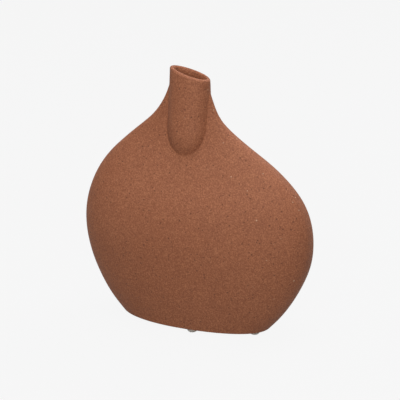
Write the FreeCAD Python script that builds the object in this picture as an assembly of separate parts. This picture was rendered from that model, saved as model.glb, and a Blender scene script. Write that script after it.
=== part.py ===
import FreeCAD, Part
import math
import os

# A pillow vase: one hollow piece of terracotta, thick at the foot and thin at the shoulders, with an
# oval neck to the left of the middle and a slanted mouth, on four clear bumper feet.
# Millimetres, +Z up, -Y to the front. The origin is under the middle of the vase, on the ground.

# Clay body, with its reaches measured from the neck's axis
clay_height = 231.6
right_reach = 115.2
left_reach = 101.4
belly_half_depth = 41.0
wall = 5.0
floor_thickness = 6.0
base_edge_radius = 1.5

# Neck and mouth, with how much wider and deeper the neck is to each side at its root
mouth_half_width = 18.4
mouth_half_depth = 11.0
neck_widening = 0.9
neck_deepening = 7.6
neck_end_length = 28.5
mouth_slant_degrees = 15.0
rim_round_share = 0.4
neck_blend_radius = 2.0

# Bumper feet, the adhesive discs that hold them, and their gap to the base's edge
foot_diameter = 10.0
foot_height = 3.8
foot_flat_diameter = 6.0
disc_diameter = 9.4
disc_thickness = 0.25
foot_edge_gap = 1.5

# How far cutting solids run past the clay
overrun = 10.0

# Outline of the clay, as shares of its height, of how far its reaches pass the neck, and of its half depth
height_shares = (0.0, 0.05, 0.12, 0.2, 0.28, 0.36, 0.44, 0.52, 0.6, 0.66, 0.72, 0.77, 0.82, 0.87, 0.92, 0.96)
right_shares = (0.617, 0.717, 0.826, 0.919, 0.982, 1.0, 0.979, 0.91, 0.772, 0.617, 0.418, 0.253, 0.123, 0.055, 0.012, -0.019)
left_shares = (0.558, 0.68, 0.806, 0.907, 0.971, 1.0, 0.988, 0.927, 0.817, 0.69, 0.521, 0.364, 0.211, 0.105, 0.036, -0.002)
depth_shares = (0.8, 0.855, 0.925, 0.976, 1.0, 0.99, 0.915, 0.785, 0.6, 0.457, 0.32, 0.238, 0.19, 0.161, 0.137, 0.12)
neck_end_share = 0.79
cavity_top_share = 0.72

# Squareness of the sections: 2 is an ellipse
body_width_power = 2.0
body_depth_power = 2.5
mouth_power = 2.0
neck_root_power = 2.3

# Turns round the base, from its right end, at which the feet are stuck
foot_turn_degrees = {"right": -17, "front": -80, "left": 163, "back": 95}

# Fineness of the curves and of the slope measured on them
section_points = 16
body_sections = 30
neck_sections = 6
slope_step_share = 0.005

# Slack when a flat edge or a slanted face is picked out
flat_slack = 0.01
slant_slack = 0.001

base_z = foot_height + disc_thickness
mouth_z = base_z + clay_height
neck_end_z = base_z + neck_end_share * clay_height
neck_x = (left_reach - right_reach) / 2


def smooth_curve(knots, values):
    """Natural cubic through the given values, as a function."""
    last = len(knots) - 1
    gaps = [knots[i + 1] - knots[i] for i in range(last)]
    slopes = [(values[i + 1] - values[i]) / gaps[i] for i in range(last)]
    weights = [0.0] * last
    bends = [0.0] * (last + 1)
    for i in range(1, last):
        weights[i] = 2 * (gaps[i - 1] + gaps[i])
        bends[i] = 6 * (slopes[i] - slopes[i - 1])
        if i > 1:
            share = gaps[i - 1] / weights[i - 1]
            weights[i] -= share * gaps[i - 1]
            bends[i] -= share * bends[i - 1]
    for i in range(last - 1, 0, -1):
        bends[i] = (bends[i] - gaps[i] * bends[i + 1]) / weights[i]

    def value(x):
        i = max([0] + [j for j in range(last) if knots[j] <= x])
        after, before, gap = x - knots[i], knots[i + 1] - x, gaps[i]
        line = (values[i] * before + values[i + 1] * after) / gap
        bend = bends[i] * before * (before ** 2 - gap ** 2) + bends[i + 1] * after * (after ** 2 - gap ** 2)
        return line + bend / (6 * gap)
    return value


right_share_at = smooth_curve(height_shares, right_shares)
left_share_at = smooth_curve(height_shares, left_shares)
depth_share_at = smooth_curve(height_shares, depth_shares)


def power(value, exponent):
    """Power that keeps the sign."""
    return math.copysign(abs(value) ** exponent, value)


def closed_wire(back_points):
    """Closed smooth section from the points of its back half, mirrored to the front."""
    front_points = [FreeCAD.Vector(p.x, -p.y, p.z) for p in back_points[-2:0:-1]]
    points = back_points + front_points
    steps = [i / len(points) for i in range(len(points) + 1)]
    curve = Part.BSplineCurve()
    curve.interpolate(Points=points, Parameters=steps, PeriodicFlag=True)
    return Part.Wire([curve.toShape()])


def reaches_at(share, inset):
    """Right reach, left reach and half depth of the body, drawn in square to its faces by the inset."""
    sizes = []
    for share_at, size, least in ((right_share_at, right_reach, mouth_half_width),
                                  (left_share_at, left_reach, mouth_half_width),
                                  (depth_share_at, belly_half_depth, 0.0)):
        growth = size - least
        rise = (share_at(share + slope_step_share) - share_at(share - slope_step_share)) / 2
        lean = rise * growth / (slope_step_share * clay_height)
        sizes.append(least + growth * share_at(share) - inset * math.sqrt(1 + lean ** 2))
    return sizes


def body_point(share, inset, angle):
    """Point on the body's section at a share of its height, at an angle round it from the right."""
    right, left, depth = reaches_at(share, inset)
    across = power(math.cos(angle), 2 / body_width_power)
    x = neck_x + (right if across > 0 else left) * across
    y = depth * power(math.sin(angle), 2 / body_depth_power)
    return FreeCAD.Vector(x, y, base_z + share * clay_height)


def pillow(bottom_share, top_share, inset):
    """Solid through the body's sections between two shares of its height."""
    angles = [math.pi * i / section_points for i in range(section_points + 1)]
    shares = [bottom_share + (top_share - bottom_share) * i / body_sections for i in range(body_sections + 1)]
    wires = [closed_wire([body_point(share, inset, angle) for angle in angles]) for share in shares]
    return Part.makeLoft(wires, True, False)


def neck_section(z, inset):
    """Section of the neck at a height, closing in an oval over the length of the neck's end."""
    way_down = (mouth_z - z) / (mouth_z - neck_end_z)
    half_width = mouth_half_width + neck_widening * way_down - inset
    half_depth = mouth_half_depth + neck_deepening * way_down - inset
    neck_power = mouth_power + (neck_root_power - mouth_power) * min(1.0, way_down)
    down = max(0.0, neck_end_z - z) / (neck_end_length - inset)
    points = []
    for i in range(section_points + 1):
        across = power(math.cos(math.pi * i / section_points), 2 / neck_power) * math.sqrt(1 - down ** 2)
        rest = max(0.0, 1 - math.hypot(across, down) ** neck_power)
        points.append(FreeCAD.Vector(neck_x + half_width * across, half_depth * rest ** (1 / neck_power), z))
    return closed_wire(points)


def neck(inset):
    """The neck's outside, or its bore when drawn in by the wall, from above the mouth to its rounded end."""
    turns = [math.pi / 2 * i / (neck_sections + 1) for i in range(neck_sections, 0, -1)]
    rise = mouth_z + overrun - neck_end_z
    heights = [neck_end_z - (neck_end_length - inset) * math.sin(turn) for turn in turns]
    heights += [neck_end_z + rise * i / neck_sections for i in range(neck_sections + 1)]
    return Part.makeLoft([neck_section(z, inset) for z in heights], True, False)


def mouth_cutter():
    """Block whose slanted underside cuts the neck off at the mouth."""
    reach = mouth_half_width + neck_widening + overrun
    block = Part.makeBox(2 * reach, 2 * reach, 2 * reach, FreeCAD.Vector(-reach, -reach, 0))
    block.rotate(FreeCAD.Vector(), FreeCAD.Vector(0, 1, 0), mouth_slant_degrees)
    block.translate(FreeCAD.Vector(neck_x, 0, mouth_z))
    return block


def level_edges(shape, z):
    """Edges that lie flat at a height."""
    return [edge for edge in shape.Edges if edge.BoundBox.ZMax - z < flat_slack and z - edge.BoundBox.ZMin < flat_slack]


def crease_edges(clay):
    """The edge all round where the neck comes out of the pillow."""
    rings = [edge for edge in clay.Edges if edge.Closed]
    lowest = neck_end_z - neck_end_length
    return [ring for ring in rings if ring.BoundBox.ZMin > lowest and ring.BoundBox.ZMax < mouth_z]


def vase_body():
    """The clay: pillow and neck in one, hollow, open at the slanted mouth."""
    outside = pillow(0.0, height_shares[-1], 0.0)
    outside = outside.makeFillet(base_edge_radius, level_edges(outside, base_z))
    clay = outside.fuse(neck(0.0)).Solids[0]
    clay = clay.makeFillet(neck_blend_radius, crease_edges(clay)).cut(mouth_cutter())
    water = pillow(floor_thickness / clay_height, cavity_top_share, wall)
    clay = clay.cut(water.fuse(neck(wall))).Solids[0]
    slant = math.radians(mouth_slant_degrees)
    up = FreeCAD.Vector(math.sin(slant), 0, math.cos(slant))
    lips = [face for face in clay.Faces if face.normalAt(0, 0).isEqual(up, slant_slack)]
    return clay.makeFillet(rim_round_share * wall, lips[0].Edges)


def foot_middle(turn_degrees):
    """Place of a foot on the underside of the base, inside its edge."""
    return body_point(0.0, foot_diameter / 2 + foot_edge_gap, math.radians(turn_degrees))


def foot(place):
    """Clear bumper: a dome, flat where it is stuck on and where it stands."""
    ground, top = FreeCAD.Vector(), FreeCAD.Vector(0, 0, foot_height)
    flat, rim = foot_flat_diameter / 2, foot_diameter / 2
    turn = math.pi / 4
    bulge = FreeCAD.Vector(flat + (rim - flat) * math.cos(turn), 0, foot_height * (1 - math.sin(turn)))
    edges = [
        Part.LineSegment(ground, FreeCAD.Vector(flat, 0, 0)),
        Part.Arc(FreeCAD.Vector(flat, 0, 0), bulge, FreeCAD.Vector(rim, 0, foot_height)),
        Part.LineSegment(FreeCAD.Vector(rim, 0, foot_height), top),
        Part.LineSegment(top, ground),
    ]
    profile = Part.Face(Part.Wire([edge.toShape() for edge in edges]))
    dome = profile.revolve(ground, FreeCAD.Vector(0, 0, 1), 360)
    dome.translate(FreeCAD.Vector(place.x, place.y, 0))
    return dome


def adhesive_disc(place):
    """Thin clear disc of adhesive between a foot and the clay."""
    return Part.makeCylinder(disc_diameter / 2, disc_thickness, FreeCAD.Vector(place.x, place.y, foot_height))


def pieces():
    """Every piece of the vase by its name."""
    named = {"vase_body": vase_body()}
    for side, turn_degrees in foot_turn_degrees.items():
        place = foot_middle(turn_degrees)
        named["foot_" + side] = foot(place)
        named["adhesive_" + side] = adhesive_disc(place)
    return named


os.makedirs("parts", exist_ok=True)
for name, shape in pieces().items():
    shape.exportStep("parts/" + name + ".step")
    box = shape.BoundBox
    print(name, shape.isValid(), len(shape.Solids), round(shape.Volume), "top", round(box.ZMax, 2),
          "x", round(box.XMin, 2), round(box.XMax, 2), "y", round(box.YMin, 2), round(box.YMax, 2))
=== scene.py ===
import math
import bpy
import numpy as np
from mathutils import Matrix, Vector


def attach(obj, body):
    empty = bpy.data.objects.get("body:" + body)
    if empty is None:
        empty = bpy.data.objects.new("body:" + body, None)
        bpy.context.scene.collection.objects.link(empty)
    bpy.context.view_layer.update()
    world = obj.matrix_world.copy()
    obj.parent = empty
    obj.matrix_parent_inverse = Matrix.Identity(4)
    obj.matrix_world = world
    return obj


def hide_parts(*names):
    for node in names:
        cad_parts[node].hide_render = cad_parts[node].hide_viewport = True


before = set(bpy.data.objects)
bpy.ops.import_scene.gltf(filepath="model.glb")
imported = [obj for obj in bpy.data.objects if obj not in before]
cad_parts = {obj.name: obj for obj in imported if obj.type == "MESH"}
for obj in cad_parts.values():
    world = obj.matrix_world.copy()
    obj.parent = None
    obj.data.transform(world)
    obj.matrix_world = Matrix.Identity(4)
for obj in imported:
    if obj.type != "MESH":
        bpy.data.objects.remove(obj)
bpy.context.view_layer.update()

# The pillow vase, dressed. The clay is one closed mesh that follows the same sections as the solid,
# with a crisper crease, a rounder rim, an inside and slight unevenness. The feet and their adhesive
# discs keep their solids and get clear materials.
# Shapes are worked out in millimetres and turned into metres at the end.
MM = 0.001

# Clay body, with its reaches measured from the neck's axis
clay_height = 231.6
right_reach = 115.2
left_reach = 101.4
belly_half_depth = 41.0
floor_thickness = 6.0
base_z = 4.05

# Wall, and how far down from the mouth it thins to the lip
wall = 5.0
lip_wall = 4.2
lip_length = 26.0

# Neck and mouth, with how much wider and deeper the neck is to each side at its root
mouth_half_width = 18.4
mouth_half_depth = 11.0
mouth_slope = math.tan(math.radians(15.0))
neck_widening = 0.9
neck_deepening = 7.6
neck_end_length = 28.5

# Outline of the clay, as shares of its height, of how far its reaches pass the neck, and of its half depth
height_shares = (0.0, 0.05, 0.12, 0.2, 0.28, 0.36, 0.44, 0.52,
                 0.6, 0.66, 0.72, 0.77, 0.82, 0.87, 0.92, 0.96)
right_shares = (0.617, 0.717, 0.826, 0.919, 0.982, 1.0, 0.979, 0.91,
                0.772, 0.617, 0.418, 0.253, 0.123, 0.055, 0.012, -0.019)
left_shares = (0.558, 0.68, 0.806, 0.907, 0.971, 1.0, 0.988, 0.927,
               0.817, 0.69, 0.521, 0.364, 0.211, 0.105, 0.036, -0.002)
depth_shares = (0.8, 0.855, 0.925, 0.976, 1.0, 0.99, 0.915, 0.785,
                0.6, 0.457, 0.32, 0.238, 0.19, 0.161, 0.137, 0.12)
neck_end_share = 0.79
cavity_top_share = 0.72

# Squareness of the sections: 2 is an ellipse
body_width_power = 2
body_depth_power = 2.5
mouth_power = 2
neck_root_power = 2.3

# Softness of the crease, of the rim outside and inside, and of the base edge
crease_blend = 0.7
rim_round = 2.0
inner_round = 5.5
base_round = 0.9

# Fineness of the mesh: points in half a loop, and steps round the rim's and the base's edges
half_loop = 150
rim_steps = 5
base_steps = 4

# Rows of loops up the outside, as first share, last share and count, closest beside the neck's end
outer_spans = ((0.0, 0.5, 70), (0.5, 0.6, 22), (0.6, 0.86, 96))
slant_share = 0.95
upper_rows = 27
outer_slant_rows = 20

# Rows down the inside, with a pair of rows at the cavity's ceiling
inner_turn_share = 0.9
inner_slant_rows = 11
bore_rows = 15
bore_end_share = 0.725
ceiling_shares = [0.7201, 0.72]
cavity_start_share = 0.71
cavity_rows = 24

# Loops across the underside and the floor inside, as shares of the way out from their middle
under_shares = (0.02, 0.2, 0.4, 0.6, 0.8, 0.93)
floor_shares = (0.8, 0.55, 0.3, 0.02)

# Rays that look for the surface: their flatness, reach and halvings, and turns in the first round
ray_flatness = 0.36
farthest = 130.0
halvings = 19
first_turns = 361

# How much closer the points stand near the neck, over what width, and from and up to which shares
closeness = 2.2
close_width = 25.0
close_from_share = 0.5
close_full_share = 0.6
close_until_share = 0.9

# Slow waves of the surface: rates along x, y and z, shift and strength
waves = ((0.061, 0.0, 0.043, 1.3, 1.0), (-0.029, 0.05, 0.083, 0.0, 1.0), (0.127, 0.11, -0.058, 2.1, 0.6))
wave_depth = 0.09
flat_half_depth = 6.0

# Heights over the base where the waves start and are full, and under the mouth where they fade and end
wave_start = 2.0
wave_full = 30.0
wave_fade = 40.0
wave_end = 12.0

# Colours of the clay as displayed, 0 to 255
clay_deep = (169, 106, 73)
clay_light = (176, 113, 80)
clay_blotch = (163, 103, 73)
clay_crumb = (135, 78, 52)
dark_grain = (127, 73, 49)
pale_grain = (199, 135, 99)
dark_pit = (88, 50, 34)
# Pale specks: painted glints, shown only towards the lit upper right
glint_speck_colour = (236, 200, 166)

# Scales of the clay's patterns, in cells or waves per metre
patch_scale = 14.0
blotch_scale = 75.0
crumb_scale = 430.0
grain_scale = 820.0
dust_scale = 2300.0
pit_scale = 330.0
speck_scale = 185.0

# How the patterns show: from and up to which of their values, and with what share at each end
patch_range = (0.35, 0.65, 0.0, 1.0)
blotch_range = (0.35, 0.65, 0.0, 0.5)
crumb_range = (0.3, 0.6, 0.28, 0.0)
dark_grain_range = (0.36, 0.6, 0.74, 0.0)
pale_grain_range = (0.5, 0.74, 0.0, 0.5)
spot_share = 0.75

# Spots: the smallest, as a share of the largest, and how much of a spot is its soft edge
smallest_spot = 0.5
soft_edge = 0.6

# Painted glints on the pale specks show where z plus so many times x passes a range, in metres, here with
# their share at each end: towards the lit upper right
glint_lean = 2.0
glint_range = (0.18, 0.26, 0.1, 1.0)

# Gloss of the clay: the grains' range with the roughness at each end, and the specular level
roughness_range = (0.3, 0.7, 0.64, 0.76)
clay_specular = 0.34

# Relief of the clay: the parts that dust, pits and specks have in it, and its depth in metres
dust_relief = 0.35
pit_relief = 0.8
speck_relief = 1.2
relief_strength = 0.6
relief_depth = 0.0005

# Studio: the point that the lights face, the world's light, and the glow of the background that is seen
lit_middle = (0.0, 0.0, 0.12)
world_light = 0.03
seen_glow = 0.92

# Floor: its half width in metres, its colour, and the colour of its glow, as displayed
floor_reach = 6.0
floor_colour = (140, 140, 140)
floor_glow_colour = (253, 253, 253)
floor_roughness = 0.9
floor_specular = 0.1

# Camera, fitted to the photograph: degrees, metres for its distance, and millimetres for its aim
camera_turn = 22.06
camera_rise = 20.90
camera_distance = 1.170
camera_target = (-9.6, 0.0, 121.05)
aim_right = 11.26
aim_down = 4.14
camera_lens = 117.0

mouth_z = base_z + clay_height
neck_end_z = base_z + neck_end_share * clay_height
neck_x = (left_reach - right_reach) / 2


def smooth_curve(knots, values):
    """Natural cubic through the given values, as a function of arrays."""
    knots, values = np.array(knots), np.array(values)
    last = len(knots) - 1
    gaps = np.diff(knots)
    slopes = np.diff(values) / gaps
    system = np.eye(last + 1)
    right_side = np.zeros(last + 1)
    for i in range(1, last):
        system[i, i - 1:i + 2] = gaps[i - 1], 2 * (gaps[i - 1] + gaps[i]), gaps[i]
        right_side[i] = 6 * (slopes[i] - slopes[i - 1])
    bends = np.linalg.solve(system, right_side)

    def value(x):
        i = np.clip(np.searchsorted(knots, x, side="right") - 1, 0, last - 1)
        after, before, gap = x - knots[i], knots[i + 1] - x, gaps[i]
        line = (values[i] * before + values[i + 1] * after) / gap
        bend_before = bends[i] * before * (before ** 2 - gap ** 2)
        bend_after = bends[i + 1] * after * (after ** 2 - gap ** 2)
        return line + (bend_before + bend_after) / (6 * gap)
    return value


# Shares of the height at which the outline is tabulated, and the last one that its curves are read at
share_table = np.linspace(-0.02, 0.98, 1001)
last_read_share = 0.97


def reach_table(shares, size, least, inset):
    """Reach or half depth over share_table, drawn in square to the face by the inset."""
    curve = smooth_curve(height_shares, shares)
    reach = least + (size - least) * curve(np.clip(share_table, 0.0, last_read_share))
    lean = np.gradient(reach, share_table * clay_height)
    return reach - inset * np.sqrt(1 + lean ** 2)


def body_tables(inset):
    """Right reach, left reach and half depth of the body."""
    return (reach_table(right_shares, right_reach, mouth_half_width, inset),
            reach_table(left_shares, left_reach, mouth_half_width, inset),
            reach_table(depth_shares, belly_half_depth, 0.0, inset))


tables = {inset: body_tables(inset) for inset in (0.0, wall)}


def body_level(x, y, z, inset):
    """Below zero inside the body's section at that height, above zero outside."""
    share = (z - base_z) / clay_height
    right, left, depth = (np.interp(share, share_table, t) for t in tables[inset])
    across = np.abs(x - neck_x) / np.where(x > neck_x, right, left)
    return across ** body_width_power + np.abs(y / depth) ** body_depth_power - 1


def neck_level(x, y, z, inset):
    """The same for the neck, with its rounded end below."""
    way_down = (mouth_z - z) / (mouth_z - neck_end_z)
    half_width = mouth_half_width + neck_widening * way_down - inset
    half_depth = mouth_half_depth + neck_deepening * way_down - inset
    power = mouth_power + (neck_root_power - mouth_power) * np.clip(way_down, 0.0, 1.0)
    down = np.maximum(0.0, neck_end_z - z) / (neck_end_length - inset)
    return np.hypot((x - neck_x) / half_width, down) ** power + np.abs(y / half_depth) ** power - 1


def distance(level, x, y, z, inset):
    """The level divided by its slope, which near the surface is the distance to it in millimetres."""
    step = 0.05
    least_slope = 1e-12
    here = level(x, y, z, inset)
    slopes = [(level(x + step * a, y + step * b, z + step * c, inset) - here) / step
              for a, b, c in ((1, 0, 0), (0, 1, 0), (0, 0, 1))]
    return here / np.sqrt(sum(s ** 2 for s in slopes) + least_slope)


def outside_distance(x, y, z):
    """Distance to the body and neck, which run softly into each other."""
    body = distance(body_level, x, y, z, 0.0)
    neck = distance(neck_level, x, y, z, 0.0)
    near = np.maximum(crease_blend - np.abs(body - neck), 0.0) / crease_blend
    return np.minimum(body, neck) - near ** 2 * crease_blend / 4


def smooth_step(value, start, end):
    """Smooth step from zero at start to one at end."""
    t = np.clip((value - start) / (end - start), 0.0, 1.0)
    return t * t * (3 - 2 * t)


def inside_level(x, y, z):
    """Below zero in the body's cavity up to its ceiling and in the bore, whose wall thins to the lip."""
    well_outside = 9.0
    ceiling_z = base_z + cavity_top_share * clay_height
    body = np.where(z <= ceiling_z, body_level(x, y, z, wall), well_outside)
    thinned = wall - (wall - lip_wall) * smooth_step(z, mouth_z - lip_length, mouth_z)
    return np.minimum(body, neck_level(x, y, z, thinned))


def lip_height(x):
    """Height of the slanted mouth over a place."""
    return mouth_z - (x - neck_x) * mouth_slope


def find_surface(field, heights, turns):
    """Points where rays from the neck's axis leave the shape. heights(x) gives each ray's height at x."""
    away = np.stack([np.cos(turns), ray_flatness * np.sin(turns)], axis=-1)
    away /= np.linalg.norm(away, axis=-1, keepdims=True)
    low, high = np.zeros(turns.shape), np.full(turns.shape, farthest)
    for _ in range(halvings):
        reach = (low + high) / 2
        x, y = neck_x + reach * away[..., 0], reach * away[..., 1]
        inside = field(x, y, heights(x)) < 0
        low, high = np.where(inside, reach, low), np.where(inside, high, reach)
    x, y = neck_x + high * away[..., 0], high * away[..., 1]
    return np.stack([x, y, heights(x)], axis=-1)


def spread_turns(points, turns, closer):
    """New turns, so that the points lie evenly along the section, and closer together near the neck."""
    steps = np.linalg.norm(np.diff(points, axis=1), axis=-1)
    middle = (points[:, 1:, 0] + points[:, :-1, 0]) / 2 - neck_x
    steps *= 1 + closer[:, None] * np.exp(-(middle / close_width) ** 2)
    along = np.concatenate([np.zeros((len(points), 1)), np.cumsum(steps, axis=1)], axis=1)
    wanted = np.linspace(0.0, 1.0, half_loop + 1)
    return np.array([np.interp(wanted * row[-1], row, turns[0]) for row in along])


def rows_of_loops(field, heights, closer):
    """Back halves of the loops, one for each row, then mirrored to the front."""
    first = np.tile(np.linspace(0.0, math.pi, first_turns), (len(closer), 1))
    points = find_surface(field, heights, first)
    points = find_surface(field, heights, spread_turns(points, first, closer))
    points[:, (0, -1), 1] = 0.0
    front = points[:, -2:0:-1] * np.array([1.0, -1.0, 1.0])
    return np.concatenate([points, front], axis=1)


def slanting_rows(field, level_z, slant, below_lip, closer):
    """Rows that are level where slant is zero, and below_lip under the mouth's slant where it is one."""
    level_z, slant = level_z[:, None], slant[:, None]
    return rows_of_loops(field, lambda x: level_z + slant * (lip_height(x) - below_lip - level_z), closer)


def outer_rows():
    """Loops up the outside, level at first and slanted like the mouth at the end."""
    spans = [np.linspace(start, end, count, endpoint=False) for start, end, count in outer_spans]
    shares = np.concatenate(spans + [np.linspace(outer_spans[-1][1], slant_share, upper_rows)])
    level_z = np.maximum(base_z + shares * clay_height, base_z + base_round)
    rise = np.linspace(0.0, 1.0, outer_slant_rows)[1:]
    level_z = np.concatenate([level_z, np.full(len(rise), base_z + slant_share * clay_height)])
    slant = np.concatenate([np.zeros(len(shares)), rise])
    share = np.concatenate([shares, np.full(len(rise), slant_share)])
    closer = closeness * smooth_step(share, close_from_share, close_full_share)
    closer = closer * (1 - smooth_step(share, close_until_share, slant_share))
    return slanting_rows(outside_distance, level_z, slant, rim_round, closer)


def inner_rows():
    """Loops down the bore and the cavity to the floor inside."""
    rise = np.linspace(1.0, 0.0, inner_slant_rows)
    shares = np.concatenate([
        np.full(len(rise), inner_turn_share),
        np.linspace(inner_turn_share, bore_end_share, bore_rows)[1:],
        ceiling_shares,
        np.linspace(cavity_start_share, floor_thickness / clay_height, cavity_rows)])
    slant = np.concatenate([rise, np.zeros(len(shares) - len(rise))])
    level_z = base_z + shares * clay_height
    return slanting_rows(inside_level, level_z, slant, inner_round, np.zeros(len(shares)))


def rounded_corner(start, corner, end, steps):
    """Loops of a round corner between two loops, with the sharp corner's loop between them."""
    to_start = start - corner
    to_end = end - corner
    lengths = np.linalg.norm(to_start, axis=-1) * np.linalg.norm(to_end, axis=-1)
    cosine = (to_start * to_end).sum(-1) / lengths
    weight = np.sqrt((1 - cosine) / 2)[:, None]
    loops = []
    for t in np.linspace(0.0, 1.0, steps + 1)[1:]:
        a, b, c = (1 - t) ** 2, 2 * t * (1 - t) * weight, t ** 2
        loops.append((a * start + b * corner + c * end) / (a + b + c))
    return loops


def single_loop(field, heights):
    """One loop at the given heights."""
    return rows_of_loops(field, heights, np.zeros(1))[0]


def unit_steps(vectors):
    """The vectors at a length of one."""
    return vectors / np.linalg.norm(vectors, axis=1, keepdims=True)


def loops_of_clay():
    """All loops from the underside's middle, up the outside and over the rim to the floor inside."""
    outer, inner = outer_rows(), inner_rows()
    edge = single_loop(outside_distance, lambda x: base_z + 0 * x)
    middle = np.array([edge[:, 0].mean(), 0.0, base_z])
    under = edge + base_round * unit_steps(middle - edge)
    loops = [middle + share * (under - middle) for share in under_shares] + [under]
    loops += rounded_corner(under, edge, outer[0], base_steps)
    loops += list(outer[1:])
    lip_out = single_loop(outside_distance, lip_height)
    lip_in = single_loop(inside_level, lip_height)
    across = unit_steps(lip_in - lip_out)
    on_out, on_in = lip_out + rim_round * across, lip_in - rim_round * across
    loops += rounded_corner(outer[-1], lip_out, on_out, rim_steps)
    loops.append(on_in)
    loops += rounded_corner(on_in, lip_in, inner[0], rim_steps)
    loops += list(inner[1:])
    floor = np.array([inner[-1][:, 0].mean(), 0.0, inner[-1][0, 2]])
    loops += [floor + share * (inner[-1] - floor) for share in floor_shares]
    return np.array(loops)


def uneven(points):
    """Slow, slight waves of a hand-finished casting, from above the base to below the mouth."""
    x, y, z = points[..., 0], points[..., 1], points[..., 2]
    wave = sum(strength * np.sin(x * along_x + y * along_y + z * along_z + shift)
               for along_x, along_y, along_z, shift, strength in waves)
    free_below = smooth_step(z, base_z + wave_start, base_z + wave_full)
    free_above = 1 - smooth_step(z, mouth_z - wave_fade, mouth_z - wave_end)
    faces = np.sign(y) * np.minimum(np.abs(y) / flat_half_depth, 1.0)
    moved = points.copy()
    moved[..., 1] += faces * wave_depth * wave * free_below * free_above
    return moved


def mesh_of_loops(name, loops):
    """Closed smooth mesh through loops of equal length, with a small cap at each end."""
    count, size = loops.shape[:2]
    here = np.arange(count * size).reshape(count, size)
    ahead = np.roll(here, -1, axis=1)
    quads = np.stack([here[:-1], ahead[:-1], ahead[1:], here[1:]], axis=-1).reshape(-1, 4)
    faces = [tuple(quad) for quad in quads.tolist()]
    faces += [tuple(here[0][::-1].tolist()), tuple(here[-1].tolist())]
    mesh = bpy.data.meshes.new(name)
    mesh.from_pydata((loops.reshape(-1, 3) * MM).tolist(), [], faces)
    mesh.polygons.foreach_set("use_smooth", [True] * len(faces))
    mesh.update()
    piece = bpy.data.objects.new(name, mesh)
    bpy.context.scene.collection.objects.link(piece)
    return piece


def new_material(name):
    """Material with its node tree and its shader."""
    material = bpy.data.materials.new(name)
    material.use_nodes = True
    return material, material.node_tree, material.node_tree.nodes["Principled BSDF"]


def feed(tree, value, socket):
    """Sets a number or colour on a socket, or links another node's output to it."""
    if isinstance(value, (int, float, tuple)):
        socket.default_value = value
    else:
        tree.links.new(value, socket)


def noise(tree, coords, scale, detail, roughness=0.5):
    """Soft random pattern, with its scale per metre."""
    node = tree.nodes.new("ShaderNodeTexNoise")
    feed(tree, scale, node.inputs["Scale"])
    feed(tree, detail, node.inputs["Detail"])
    feed(tree, roughness, node.inputs["Roughness"])
    feed(tree, coords, node.inputs["Vector"])
    return node.outputs["Fac"]


def ranged(tree, value, low, high, to_low, to_high):
    """The value's range from low to high, as to_low to to_high."""
    node = tree.nodes.new("ShaderNodeMapRange")
    for key, number in (("From Min", low), ("From Max", high), ("To Min", to_low), ("To Max", to_high)):
        feed(tree, number, node.inputs[key])
    feed(tree, value, node.inputs["Value"])
    return node.outputs["Result"]


def math_node(tree, operation, first, second):
    """Two values added, multiplied, divided or compared."""
    node = tree.nodes.new("ShaderNodeMath")
    node.operation = operation
    feed(tree, first, node.inputs[0])
    feed(tree, second, node.inputs[1])
    return node.outputs["Value"]


def mixed(tree, share, first, second):
    """Colour between two others, at a share of the way."""
    node = tree.nodes.new("ShaderNodeMix")
    node.data_type = "RGBA"
    for key, value in (("Factor_Float", share), ("A_Color", first), ("B_Color", second)):
        feed(tree, value, next(s for s in node.inputs if s.identifier == key))
    return next(s for s in node.outputs if s.identifier == "Result_Color")


def spots(tree, coords, scale, radius, kept):
    """One inside small round spots at some of the cells' middles, and zero elsewhere."""
    node = tree.nodes.new("ShaderNodeTexVoronoi")
    feed(tree, scale, node.inputs["Scale"])
    feed(tree, coords, node.inputs["Vector"])
    split = tree.nodes.new("ShaderNodeSeparateColor")
    feed(tree, node.outputs["Color"], split.inputs["Color"])
    chosen = math_node(tree, "LESS_THAN", split.outputs["Red"], kept)
    size = ranged(tree, split.outputs["Green"], 0.0, 1.0, radius * smallest_spot, radius)
    way_out = math_node(tree, "DIVIDE", node.outputs["Distance"], size)
    near = math_node(tree, "SUBTRACT", 1.0, way_out)
    return math_node(tree, "MULTIPLY", ranged(tree, near, 0.0, soft_edge, 0.0, 1.0), chosen)


def linear(red, green, blue):
    """Display colour, 0 to 255, as the scene-linear colour that the shaders take."""
    parts = [c / 255 for c in (red, green, blue)]
    return tuple(c / 12.92 if c <= 0.04045 else ((c + 0.055) / 1.055) ** 2.4 for c in parts) + (1.0,)


def object_coords(tree):
    """Places on the object, in metres."""
    return tree.nodes.new("ShaderNodeTexCoord").outputs["Object"]


def lit_glint_share(tree, coords):
    """Nearly zero over most of the clay, and one towards its upper right, where the light falls and the
    specks get painted glints.
    """
    place = tree.nodes.new("ShaderNodeSeparateXYZ")
    feed(tree, coords, place.inputs[0])
    across = math_node(tree, "MULTIPLY", place.outputs["X"], glint_lean)
    across_and_up = math_node(tree, "ADD", across, place.outputs["Z"])
    return ranged(tree, across_and_up, *glint_range)


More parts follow.
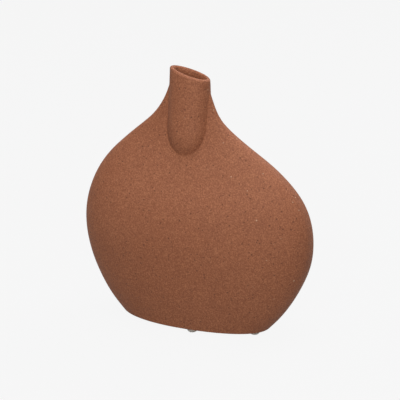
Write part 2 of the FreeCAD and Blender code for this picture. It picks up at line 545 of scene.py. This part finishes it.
def terracotta():
    """Matte sandy clay: slow patches, crumbs, grains, dark pits, and pale specks painted as glints towards
    the lit upper right.
    """
    material, tree, shader = new_material("terracotta_clay")
    coords = object_coords(tree)
    patches = noise(tree, coords, patch_scale, detail=3.0)
    blotches = noise(tree, coords, blotch_scale, detail=3.0)
    crumbs = noise(tree, coords, crumb_scale, detail=2.0, roughness=0.6)
    grains = noise(tree, coords, grain_scale, detail=3.0, roughness=0.65)
    dust = noise(tree, coords, dust_scale, detail=2.0)
    pits = spots(tree, coords, pit_scale, radius=0.34, kept=0.42)
    all_specks = spots(tree, coords, speck_scale, radius=0.19, kept=0.17)
    # Painted glints: pale specks kept only towards the lit upper right, where the light falls
    glint_specks = math_node(tree, "MULTIPLY", all_specks, lit_glint_share(tree, coords))

    patch_share = ranged(tree, patches, *patch_range)
    colour = mixed(tree, patch_share, linear(*clay_deep), linear(*clay_light))
    layers = (
        (ranged(tree, blotches, *blotch_range), clay_blotch),
        (ranged(tree, crumbs, *crumb_range), clay_crumb),
        (ranged(tree, grains, *dark_grain_range), dark_grain),
        (ranged(tree, grains, *pale_grain_range), pale_grain),
        (math_node(tree, "MULTIPLY", pits, spot_share), dark_pit),
        # Painted glints on the specks
        (math_node(tree, "MULTIPLY", glint_specks, spot_share), glint_speck_colour),
    )
    for share, tint in layers:
        colour = mixed(tree, share, colour, linear(*tint))
    feed(tree, colour, shader.inputs["Base Color"])
    feed(tree, ranged(tree, grains, *roughness_range), shader.inputs["Roughness"])
    shader.inputs["Specular IOR Level"].default_value = clay_specular

    height = math_node(tree, "ADD", grains, math_node(tree, "MULTIPLY", dust, dust_relief))
    height = math_node(tree, "SUBTRACT", height, math_node(tree, "MULTIPLY", pits, pit_relief))
    height = math_node(tree, "ADD", height, math_node(tree, "MULTIPLY", glint_specks, speck_relief))
    bump = tree.nodes.new("ShaderNodeBump")
    bump.inputs["Strength"].default_value = relief_strength
    bump.inputs["Distance"].default_value = relief_depth
    feed(tree, height, bump.inputs["Height"])
    feed(tree, bump.outputs["Normal"], shader.inputs["Normal"])
    return material


def clear_plastic(name, scale, dark, light, smoothest, roughest, transmission, ior):
    """Clear plastic with a haze that varies slightly in colour and roughness."""
    material, tree, shader = new_material(name)
    haze = noise(tree, object_coords(tree), scale, detail=2.0)
    feed(tree, mixed(tree, haze, dark, light), shader.inputs["Base Color"])
    feed(tree, ranged(tree, haze, 0.3, 0.7, smoothest, roughest), shader.inputs["Roughness"])
    shader.inputs["Transmission Weight"].default_value = transmission
    shader.inputs["IOR"].default_value = ior
    return material


def clear_bumper():
    """Soft clear polyurethane, faintly grey and cloudy."""
    return clear_plastic(
        "clear_bumper", scale=420.0, dark=linear(222, 214, 203), light=linear(238, 232, 222),
        smoothest=0.22, roughest=0.36, transmission=0.4, ior=1.49)


def clear_adhesive():
    """Thin clear adhesive film."""
    return clear_plastic(
        "clear_adhesive", scale=700.0, dark=linear(214, 212, 205), light=linear(232, 230, 224),
        smoothest=0.3, roughest=0.45, transmission=0.6, ior=1.47)


def seen_directly(tree):
    """One for what the camera sees, also mirrored or through something clear, and otherwise zero."""
    path = tree.nodes.new("ShaderNodeLightPath")
    seen = math_node(tree, "MAXIMUM", path.outputs["Is Camera Ray"], path.outputs["Is Glossy Ray"])
    return math_node(tree, "MAXIMUM", seen, path.outputs["Is Transmission Ray"])


def pale_floor():
    """Plain pale floor that keeps a faint shadow."""
    material, tree, shader = new_material("pale_floor")
    shader.inputs["Base Color"].default_value = linear(*floor_colour)
    shader.inputs["Roughness"].default_value = floor_roughness
    shader.inputs["Specular IOR Level"].default_value = floor_specular
    glow = tree.nodes.new("ShaderNodeEmission")
    glow.inputs["Color"].default_value = linear(*floor_glow_colour)
    mix = tree.nodes.new("ShaderNodeMixShader")
    feed(tree, math_node(tree, "MULTIPLY", seen_directly(tree), seen_glow), mix.inputs[0])
    feed(tree, shader.outputs[0], mix.inputs[1])
    feed(tree, glow.outputs[0], mix.inputs[2])
    feed(tree, mix.outputs[0], tree.nodes["Material Output"].inputs["Surface"])
    return material


def add_floor():
    """Wide square floor at the height of the ground."""
    mesh = bpy.data.meshes.new("floor")
    corners = [(-floor_reach, -floor_reach, 0), (floor_reach, -floor_reach, 0),
               (floor_reach, floor_reach, 0), (-floor_reach, floor_reach, 0)]
    mesh.from_pydata(corners, [], [(0, 1, 2, 3)])
    floor = bpy.data.objects.new("floor", mesh)
    bpy.context.scene.collection.objects.link(floor)
    mesh.materials.append(pale_floor())


def add_light(name, place, size, watts, colour):
    """Square soft light that faces the vase, unseen by the camera."""
    lamp = bpy.data.lights.new(name, "AREA")
    lamp.size = size
    lamp.energy = watts
    lamp.color = colour
    light = bpy.data.objects.new(name, lamp)
    light.location = place
    light.visible_camera = False
    light.rotation_mode = "QUATERNION"
    light.rotation_quaternion = (Vector(lit_middle) - Vector(place)).to_track_quat("-Z", "Y")
    bpy.context.scene.collection.objects.link(light)


def add_world(strength, seen_strength):
    """Faint even light, which the camera sees as a pale background."""
    world = bpy.data.worlds.new("studio")
    world.use_nodes = True
    tree = world.node_tree
    background = tree.nodes["Background"]
    background.inputs["Color"].default_value = (1.0, 1.0, 1.0, 1.0)
    shown = ranged(tree, seen_directly(tree), 0.0, 1.0, strength, seen_strength)
    feed(tree, shown, background.inputs["Strength"])
    bpy.context.scene.world = world


def add_camera():
    """Long lens from the front right, a little above, as in the photograph."""
    turn, rise = math.radians(camera_turn), math.radians(camera_rise)
    back = Vector((math.sin(turn) * math.cos(rise), -math.cos(turn) * math.cos(rise), math.sin(rise)))
    right = Vector((math.cos(turn), math.sin(turn), 0.0))
    up = back.cross(right)
    target = Vector(camera_target) * MM
    place = target + back * camera_distance
    aim = target + right * aim_right * MM - up * aim_down * MM
    data = bpy.data.cameras.new("camera")
    data.lens = camera_lens
    data.sensor_width = 36.0
    data.clip_start, data.clip_end = 0.05, 50.0
    camera = bpy.data.objects.new("camera", data)
    camera.location = place
    camera.rotation_mode = "QUATERNION"
    camera.rotation_quaternion = (aim - place).to_track_quat("-Z", "Y")
    bpy.context.scene.collection.objects.link(camera)
    bpy.context.scene.camera = camera


def dress_node(name, material):
    """A better material on a solid that keeps its shape."""
    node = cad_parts[name]
    if not node.material_slots:
        node.data.materials.append(material)
    for place in node.material_slots:
        place.material = material


add_camera()
bpy.context.scene.view_settings.view_transform = "Standard"

clay = mesh_of_loops("terracotta_vase", uneven(loops_of_clay()))
clay.data.materials.append(terracotta())
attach(clay, "root")
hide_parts("vase_body")

bumper, adhesive = clear_bumper(), clear_adhesive()
for side in ("front", "right", "left", "back"):
    dress_node("foot_" + side, bumper)
    dress_node("adhesive_" + side, adhesive)

add_floor()
add_world(world_light, seen_glow)
add_light("overhead", place=(0.0, 0.0, 1.7), size=1.2, watts=16.4, colour=(0.98, 1.0, 1.1))
add_light("front", place=(0.37, -1.38, 0.85), size=0.6, watts=12.1, colour=(1.02, 0.99, 0.93))
add_light("upper_front", place=(0.397, -0.983, 1.181), size=0.9, watts=1.6, colour=(1.0, 1.0, 1.0))
add_light("back", place=(0.5, 1.0, 1.2), size=0.9, watts=8.0, colour=(1.0, 1.0, 1.0))
